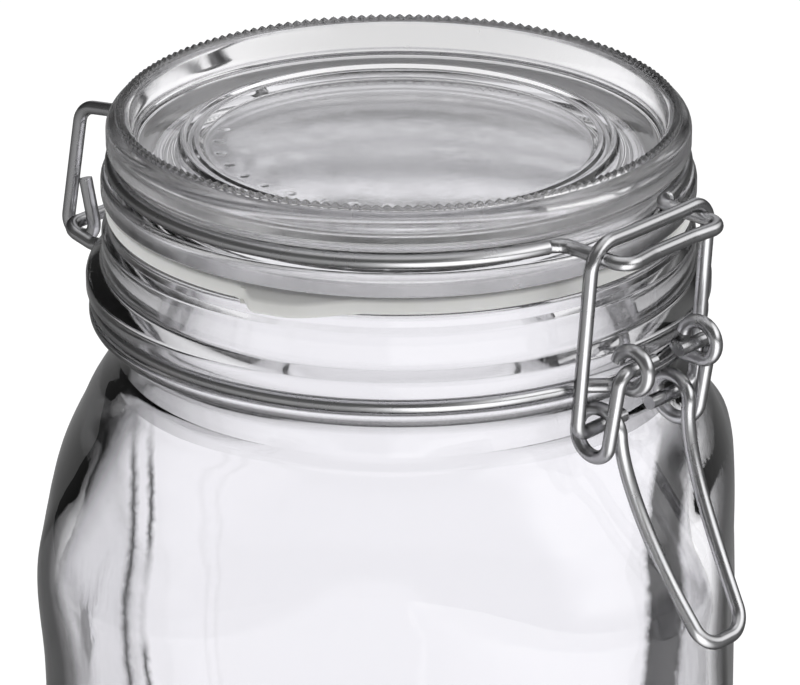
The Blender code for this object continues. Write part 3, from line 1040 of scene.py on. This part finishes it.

# %% [markdown]
# The jar wears three glasses. The body is clear and the painted shade at its edge turns dark
# quickly. The inside is seen through the outside, so its painted shade stays light almost to its
# edge, and it carries the painted streaks. The neck is thicker, with its beads, a little dull from
# handling, and its painted shade darkens sooner. One skin can wear all three, because each face
# has the number of its material slot.

# %% Finish: the glass of the jar
# Painted shade: the brightness of each glass by how far its surface turns away
BODY_SHADES = (
    (0.0, 0.93),
    (0.3, 0.91),
    (0.44, 0.82),
    (0.5, 0.55),
    (0.56, 0.2),
    (0.62, 0.03),
    (0.7, 0.003),
    (1.0, 0.0),
)
INSIDE_SHADES = (
    (0.0, 0.93),
    (0.2, 0.92),
    (0.5, 0.84),
    (0.8, 0.5),
    (0.84, 0.4),
    (0.87, 0.14),
    (0.93, 0.03),
    (1.0, 0.01),
)
NECK_SHADES = (
    (0.0, 0.88),
    (0.15, 0.84),
    (0.3, 0.5),
    (0.42, 0.26),
    (0.6, 0.14),
    (0.75, 0.03),
    (1.0, 0.0),
)
NECK_FROM = 120.0
INSIDE_FLOOR_BELOW = 100.0
dress(
    jar_glass,
    glass("jar glass body", (0.04, 0.1), (0.0, 0.03), BODY_SHADES, lean=0.075),
    glass("jar glass inside", (0.08, 0.1), (0.0, 0.04), INSIDE_SHADES, painted_corner_shade),
    glass("jar glass neck", (0.04, 0.1), (0.05, 0.13), NECK_SHADES, under_wire_shade),
)
for face in jar_glass.data.polygons:
    away = Vector((face.center.x, face.center.y, 0))
    on_floor_inside = face.normal.z > 0.7 and face.center.z < INSIDE_FLOOR_BELOW * MM
    if face.normal.dot(away) < 0 or on_floor_inside:
        face.material_index = 1
    elif face.center.z > NECK_FROM * MM:
        face.material_index = 2
slots = [face.material_index for face in jar_glass.data.polygons]
print("faces of body, inside and neck:", [slots.count(slot) for slot in range(3)])

# %% [markdown]
# The lid wears three glasses as well. Its top and plug are clear, the panel of its underside is
# a little cloudy, as the pressed plug is, and its side and crest are the dullest glass of the
# jar, because that is where the two halves of the mould meet and where hands hold it.

# %% Finish: the glass of the lid
# Painted shade: the brightness of each glass of the lid by how far its surface turns away
TOP_SHADES = (
    (0.0, 1.0),
    (0.5, 0.97),
    (0.63, 0.9),
    (0.7, 0.6),
    (0.8, 0.48),
    (0.92, 0.25),
    (1.0, 0.1),
)
PANEL_SHADES = ((0.0, 0.92), (0.5, 0.85), (0.8, 0.4), (1.0, 0.1))
SIDE_SHADES = ((0.0, 1.0), (0.4, 0.97), (0.6, 0.9), (0.75, 0.75), (0.9, 0.5), (1.0, 0.3))
SIDE_FROM = 150.0
SIDE_RADIUS = 38.0
CREST_FROM = 162.9
PANEL_RADIUS = 35.0
dress(
    lid_glass,
    glass("lid glass outside", (0.04, 0.08), (0.0, 0.05), TOP_SHADES, crest_shade),
    glass("lid glass underside", (0.1, 0.15), (0.1, 0.18), PANEL_SHADES, panel_shade),
    glass("lid glass side", (0.04, 0.15), (0.15, 0.28), SIDE_SHADES),
)
for face in lid_glass.data.polygons:
    away = Vector((face.center.x, face.center.y, 0))
    faces_out = face.normal.dot(away) > 0.3 * away.length
    on_side = faces_out and face.center.z > SIDE_FROM * MM and away.length > SIDE_RADIUS * MM
    on_crest = face.center.z > CREST_FROM * MM
    if face.normal.z < -0.5 and face.center.xy.length < PANEL_RADIUS * MM:
        face.material_index = 1
    elif on_side or on_crest:
        face.material_index = 2
slots = [face.material_index for face in lid_glass.data.polygons]
print("faces of top, panel and side:", [slots.count(slot) for slot in range(3)])

# %% [markdown]
# The wire is drawn steel with a bright finish. Drawing leaves very fine lines along it and
# handling leaves duller patches, so the roughness wanders a little and a fine grain breaks up
# the highlight without dulling it. Round wire mirrors the dark above the set along its edges,
# and a ramp on how far the surface turns away deepens those edges with painted shade.

# %% Finish: bright steel wire
# Painted shade: these stops darken the wire's colour towards its edges
EDGE_SHADE_STOPS = ((0.0, 1.0), (0.12, 1.0), (0.28, 0.76), (0.48, 0.42), (0.72, 0.18), (1.0, 0.07))
steel = bpy.data.materials.new("bright steel wire")
steel.use_nodes = True
tree = steel.node_tree
shader = tree.nodes["Principled BSDF"]
shader.inputs["Metallic"].default_value = 1
place = node(tree, "ShaderNodeTexCoord")
patches = node(tree, "ShaderNodeTexNoise", Scale=130.0, Detail=3.0, Roughness=0.6)
grain = node(tree, "ShaderNodeTexNoise", Scale=2600.0, Detail=2.0, Roughness=0.6)
colour = node(tree, "ShaderNodeValToRGB")
set_stops(colour, ((0.0, (0.88, 0.88, 0.90)), (1.0, (0.99, 0.99, 1.0))))
edge = node(tree, "ShaderNodeLayerWeight", Blend=0.5)
rim = node(tree, "ShaderNodeValToRGB")
set_stops(rim, [(facing, (shade, shade, shade)) for facing, shade in EDGE_SHADE_STOPS])
darker = node(tree, "ShaderNodeMix", data_type="RGBA", blend_type="MULTIPLY")
darker.inputs["Factor"].default_value = 1.0
dull = node(tree, "ShaderNodeMapRange")
dull.inputs["To Min"].default_value = 0.2
dull.inputs["To Max"].default_value = 0.36
bump = node(tree, "ShaderNodeBump", Strength=0.08, Distance=0.00005)
tree.links.new(place.outputs["Object"], patches.inputs["Vector"])
tree.links.new(place.outputs["Object"], grain.inputs["Vector"])
tree.links.new(patches.outputs["Fac"], colour.inputs["Fac"])
tree.links.new(edge.outputs["Facing"], rim.inputs["Fac"])
tree.links.new(colour.outputs["Color"], darker.inputs["A"])
tree.links.new(rim.outputs["Color"], darker.inputs["B"])
tree.links.new(darker.outputs["Result"], shader.inputs["Base Color"])
tree.links.new(patches.outputs["Fac"], dull.inputs["Value"])
tree.links.new(dull.outputs["Result"], shader.inputs["Roughness"])
tree.links.new(grain.outputs["Fac"], bump.inputs["Height"])
tree.links.new(bump.outputs["Normal"], shader.inputs["Normal"])
for piece in (neck_wire, lid_wire, lever_wire, bail_wire):
    dress(piece, steel)

# %% [markdown]
# The rubber is pale and lets some light in, so it glows softly instead of looking painted. Its
# skin is matt, with the faint mottle of a moulded ring. Subsurface scattering gives the glow,
# and one noise drives colour, gloss and skin together, as dust in a mould does.

# %% Finish: pale rubber
rubber = bpy.data.materials.new("pale rubber")
rubber.use_nodes = True
tree = rubber.node_tree
shader = tree.nodes["Principled BSDF"]
shader.inputs["Subsurface Weight"].default_value = 0.35
shader.inputs["Subsurface Radius"].default_value = (0.003, 0.003, 0.0028)
shader.inputs["IOR"].default_value = 1.45
place = node(tree, "ShaderNodeTexCoord")
mottle = node(tree, "ShaderNodeTexNoise", Scale=260.0, Detail=4.0, Roughness=0.6)
colour = node(tree, "ShaderNodeValToRGB")
set_stops(colour, ((0.0, (0.88, 0.88, 0.85)), (1.0, (0.98, 0.98, 0.96))))
skin = node(tree, "ShaderNodeMapRange")
skin.inputs["To Min"].default_value = 0.38
skin.inputs["To Max"].default_value = 0.6
bump = node(tree, "ShaderNodeBump", Strength=0.15, Distance=0.0001)
tree.links.new(place.outputs["Object"], mottle.inputs["Vector"])
tree.links.new(mottle.outputs["Fac"], colour.inputs["Fac"])
tree.links.new(colour.outputs["Color"], shader.inputs["Base Color"])
tree.links.new(mottle.outputs["Fac"], skin.inputs["Value"])
tree.links.new(skin.outputs["Result"], shader.inputs["Roughness"])
tree.links.new(mottle.outputs["Fac"], bump.inputs["Height"])
tree.links.new(bump.outputs["Normal"], shader.inputs["Normal"])
dress(gasket_ring, rubber)

# %% [markdown]
# Clear glass shows only what stands round it. On a white floor under even light it would all
# but vanish, so a studio lights the floor and keeps the room above it darker: the glass is
# then bright where one looks straight through and drawn in grey where it bends the view. The
# floor here glows by itself, which lights the set without a lamp. What a shiny surface mirrors
# is less than the whole floor: a narrow strip behind the jar and a stretch in front of it, as
# if dark cloths lay on both sides. Light Path tells a mirrored ray from the others.

# %% Stage: the white floor
def unmirrored(tree):
    """1, and 0 for what a shiny surface mirrors."""
    ray = node(tree, "ShaderNodeLightPath").outputs
    matt = chain(tree, "SUBTRACT", 1.0, ray["Is Diffuse Ray"])
    return chain(tree, "SUBTRACT", 1.0, chain(tree, "MULTIPLY", ray["Is Reflection Ray"], matt))


FLOOR_RADIUS = 6.0
FLOOR_GAP = 0.0003
FLOOR_GLOW = 0.9
start_clean()
bpy.ops.mesh.primitive_circle_add(
    vertices=128, radius=FLOOR_RADIUS, fill_type="NGON", location=(0, 0, -FLOOR_GAP)
)
floor = bpy.context.object
floor.name = "floor"
white = bpy.data.materials.new("white floor")
white.use_nodes = True
tree = white.node_tree
shader = tree.nodes["Principled BSDF"]
shader.inputs["Base Color"].default_value = (0.35, 0.35, 0.35, 1)
shader.inputs["Roughness"].default_value = 1.0
shader.inputs["Specular IOR Level"].default_value = 0.0
place, x, y, _ = axes(tree)
length = node(tree, "ShaderNodeVectorMath", operation="LENGTH")
tree.links.new(place, length.inputs[0])
mirrored = chain(tree, "SUBTRACT", 1.0, unmirrored(tree))
# Behind the jar: a strip that narrows towards the jar, and more so for mirrored rays
aside = chain(tree, "DIVIDE", chain(tree, "ABSOLUTE", x), chain(tree, "MAXIMUM", y, 0.01))
wide_strip = fade(tree, aside, 0.2, 0.38, 1.0, 0.0)
cloths = chain(tree, "MULTIPLY", mirrored, fade(tree, aside, 0.06, 0.2, 0.0, 1.0))
strip = chain(tree, "SUBTRACT", wide_strip, cloths)
# Round the jar: a wide pool that is only seen directly and through the glass
pool = fade(tree, length.outputs["Value"], 1.2, 2.4, 1.0, 0.0)
near = chain(tree, "MULTIPLY", pool, chain(tree, "SUBTRACT", 1.0, mirrored))
# In front of the jar: a brighter stretch to the right, only for mirrored rays
towards = chain(tree, "MAXIMUM", chain(tree, "MULTIPLY", y, -1.0), 0.01)
ahead = fade(tree, chain(tree, "DIVIDE", x, towards), 0.6, 2.2, 1.3, 0.0)
front = chain(tree, "MULTIPLY", ahead, fade(tree, x, -0.004, 0.034, 0.06, 1.0))
far = chain(tree, "MULTIPLY", mirrored, front)
brightest = chain(tree, "MAXIMUM", strip, chain(tree, "MAXIMUM", near, far))
shader.inputs["Emission Color"].default_value = (1, 1, 1, 1)
tree.links.new(chain(tree, "MULTIPLY", brightest, FLOOR_GLOW), shader.inputs["Emission Strength"])
floor.data.materials.append(white)
print("floor of", round(floor.dimensions.x, 1), "m")

# %% [markdown]
# The room is painted on the world, so it is lit evenly and costs no lamps: a pale backdrop
# behind the set, a soft ceiling, and a soft box on each side. The right box gives the wires
# their bright lines; the left one is weaker and is not seen in what a shiny surface mirrors.
# Everything else stays dark.

# %% Stage: the room
SIDE_BOX = 1.1
LEFT_BOX_SHARE = 0.5
BACKDROP = (0.92, 0.92, 0.94, 1)
world = bpy.data.worlds.new("studio")
bpy.context.scene.world = world
world.use_nodes = True
tree = world.node_tree
sky = tree.nodes["Background"]
_, x, y, z = axes(tree, "Generated")
right_box = fade(tree, x, 0.42, 0.62, 0.0, 1.0)
left_box = fade(tree, x, -0.62, -0.42, LEFT_BOX_SHARE, 0.0)
left_box = chain(tree, "MULTIPLY", left_box, unmirrored(tree))
above_floor = fade(tree, z, 0.12, 0.34, 0.0, 1.0)
boxes = chain(tree, "MULTIPLY", chain(tree, "ADD", right_box, left_box), above_floor)
ceiling = fade(tree, z, 0.75, 0.95, 0.06, 0.45)
room = chain(tree, "ADD", ceiling, chain(tree, "MULTIPLY", boxes, SIDE_BOX))
behind = fade(tree, y, 0.05, 0.25, 0.0, 1.0)
narrow = fade(tree, chain(tree, "ABSOLUTE", x), 0.2, 0.36, 1.0, 0.0)
both = node(tree, "ShaderNodeMix", data_type="RGBA")
tree.links.new(chain(tree, "MULTIPLY", behind, narrow), both.inputs["Factor"])
tree.links.new(room, both.inputs["A"])
both.inputs["B"].default_value = BACKDROP
tree.links.new(both.outputs["Result"], sky.inputs["Color"])
print("room of", len(tree.nodes), "nodes")

# %% [markdown]
# A long lens from about a metre away shows a jar this size without the stretched look of a
# near, wide one. The camera looks down on the lid by 22 degrees, a little from the right, and
# close enough that the lower body runs out of the frame.

# %% Camera
CAMERA_DISTANCE = 0.9
CAMERA_TILT = math.radians(22.4)
CAMERA_TURN = math.radians(4.3)
AIM_ASIDE = 0.0002
AIM_HEIGHT = 0.1226
aim = Vector((AIM_ASIDE * math.cos(CAMERA_TURN), AIM_ASIDE * math.sin(CAMERA_TURN), AIM_HEIGHT))
back = Vector((math.sin(CAMERA_TURN), -math.cos(CAMERA_TURN), 0)) * math.cos(CAMERA_TILT)
back.z = math.sin(CAMERA_TILT)
bpy.ops.object.camera_add(location=aim + back * CAMERA_DISTANCE)
camera = bpy.context.object
camera.rotation_euler = (-back).to_track_quat("-Z", "Y").to_euler()
camera.data.lens = 246.9
camera.data.sensor_width = 36
camera.data.clip_start = 0.01
bpy.context.scene.camera = camera
bpy.context.scene.view_settings.view_transform = "Standard"
print("camera at", [round(side, 3) for side in camera.location], "m")
